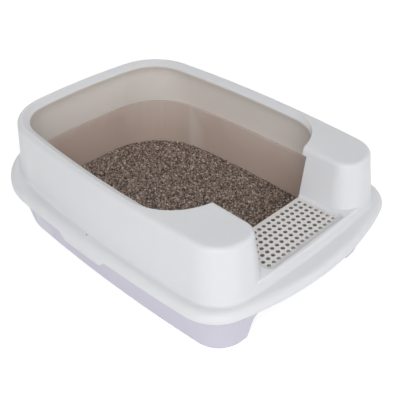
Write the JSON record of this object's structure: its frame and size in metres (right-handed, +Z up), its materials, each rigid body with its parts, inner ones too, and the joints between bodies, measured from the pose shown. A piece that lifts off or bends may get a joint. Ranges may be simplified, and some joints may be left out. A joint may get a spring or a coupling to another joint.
{
  "type": "cat litter tray",
  "caption": "Deep two-tone litter tray: a lift-out pan in a footed base, under a press-on high surround with a low front entry and a perforated step plate.",
  "frame": {"origin": "middle of the footprint's outer box, on the ground", "axes": "+Z up, -Y towards the low front entry, +X to the right when seen from the front"},
  "size_m": [0.404, 0.5409, 0.17],
  "materials": {
    "base_plastic": "satin, pale lilac grey",
    "pan_plastic": "satin, taupe",
    "surround_plastic": "satin, off-white",
    "grate_plastic": "satin, warm white",
    "litter": "loose mineral granules"
  },
  "bodies": {
    "base": {"base": "base_plastic"},
    "pan": {"pan": "pan_plastic", "litter_bed": "litter"},
    "surround": {"surround": "surround_plastic"},
    "step_grate": {"step_grate": "grate_plastic"}
  },
  "joints": [
    {"name": "surround_lift", "type": "slide", "parent": "base", "child": "surround", "axis": [0, 0, 1], "range_m": [0, 0.2]},
    {"name": "pan_lift", "type": "slide", "parent": "base", "child": "pan", "axis": [0, 0, 1], "range_m": [0, 0.1]},
    {"name": "grate_lift", "type": "slide", "parent": "surround", "child": "step_grate", "axis": [0, 0, 1], "range_m": [0, 0.08]}
  ],
  "couplings": [
    {"joint": "pan_lift", "follows": "surround_lift", "ratio": 0.5}
  ]
}
